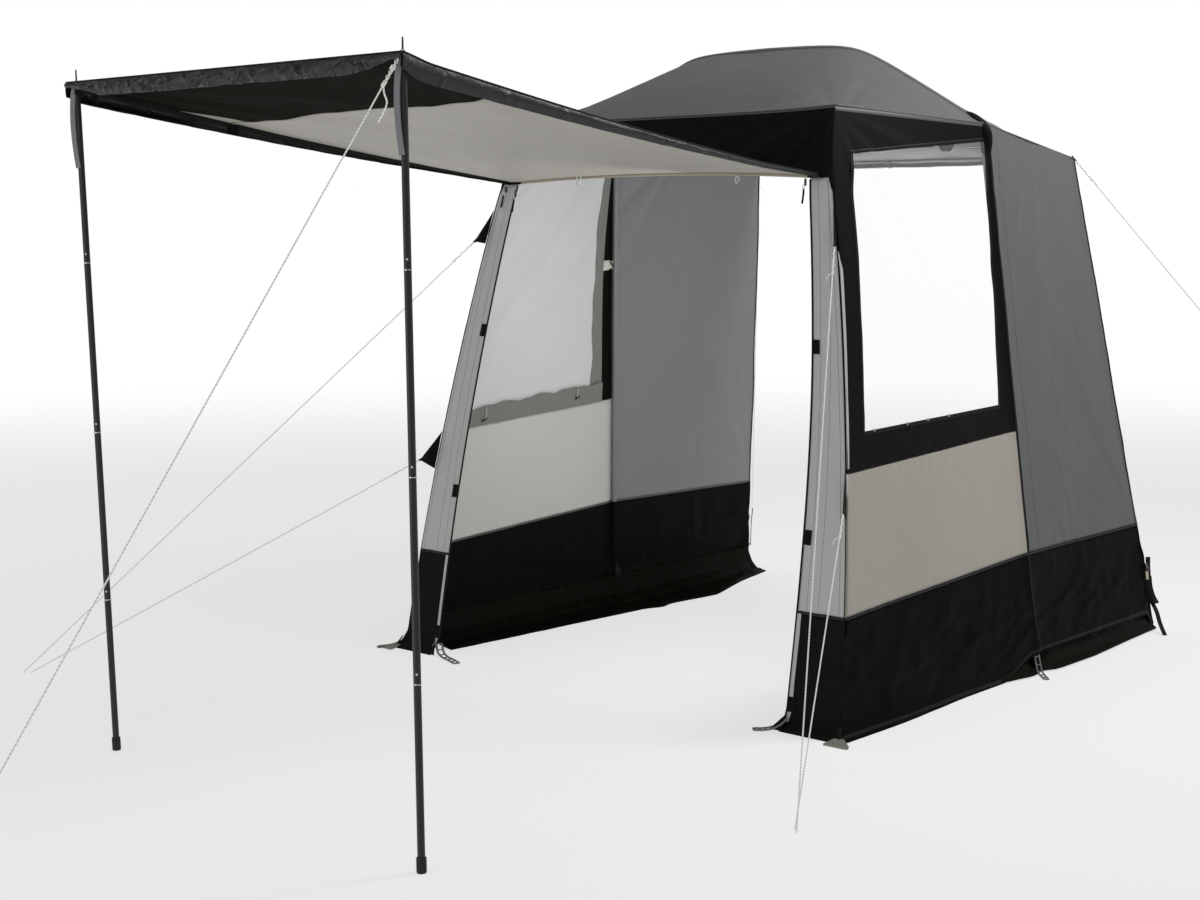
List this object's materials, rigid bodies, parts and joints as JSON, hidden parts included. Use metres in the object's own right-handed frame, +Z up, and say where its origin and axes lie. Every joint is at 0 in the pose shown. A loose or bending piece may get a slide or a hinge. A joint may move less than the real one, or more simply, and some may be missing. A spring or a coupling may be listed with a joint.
{
  "type": "tailgate tent",
  "caption": "Fabric tent for a vehicle's tailgate: domed roof, tapered walls with clear windows, open rear, and the front door raised on poles as a canopy.",
  "frame": {"origin": "on the floor, on the centre line, in the line of the front wall's foot, which is also the middle of the footprint with its guy lines", "axes": "+X to the right of someone who looks at the door from outside, +Y from the front to the open rear, +Z up"},
  "size_m": [3.8036, 6.7536, 2.3676],
  "materials": {
    "grey_ripstop": "matt PU-coated polyester ripstop",
    "black_ripstop": "matt PU-coated polyester ripstop",
    "silver_ripstop": "matt PU-coated polyester ripstop",
    "beige_ripstop": "matt PU-coated polyester ripstop",
    "clear_film": "clear PVC window film",
    "curtain_cloth": "thin translucent polyester",
    "coated_steel": "black powder coat, satin",
    "fibreglass": "satin pultruded fibreglass",
    "white_rope": "braided polyester cord",
    "flap_film": "crinkled polyethylene film"
  },
  "bodies": {
    "root": {"roof_front_panel": "grey_ripstop", "roof_rear_panel": "grey_ripstop", "front_header": "black_ripstop", "left_front_strip": "silver_ripstop", "left_strip_skirt": "black_ripstop", "left_window_frame": "black_ripstop", "left_window_pane": "clear_film", "left_lower_panel": "beige_ripstop", "left_rear_panel": "grey_ripstop", "left_skirt": "black_ripstop", "left_mud_flap": "flap_film", "left_canopy_hem": "black_ripstop", "left_canopy_pole": "coated_steel", "left_corner_pole": "fibreglass", "left_upper_guy_tab": "black_ripstop", "left_lower_guy_tab": "black_ripstop", "left_upper_guy": "white_rope", "left_lower_guy": "white_rope", "left_rear_guy": "white_rope", "right_front_strip": "silver_ripstop", "right_strip_skirt": "black_ripstop", "right_window_frame": "black_ripstop", "right_window_pane": "clear_film", "right_lower_panel": "beige_ripstop", "right_rear_panel": "grey_ripstop", "right_skirt": "black_ripstop", "right_mud_flap": "flap_film", "right_canopy_hem": "black_ripstop", "right_canopy_pole": "coated_steel", "right_corner_pole": "fibreglass", "right_upper_guy_tab": "black_ripstop", "right_lower_guy_tab": "black_ripstop", "right_upper_guy": "white_rope", "right_lower_guy": "white_rope", "right_rear_guy": "white_rope", "left_curtain": "curtain_cloth", "canopy_inner_panel": "beige_ripstop", "canopy_outer_panel": "black_ripstop", "canopy_valance": "black_ripstop", "roof_hoop_pole": "fibreglass", "rear_door_roll": "silver_ripstop", "right_canopy_guy": "white_rope"}
  },
  "joints": []
}
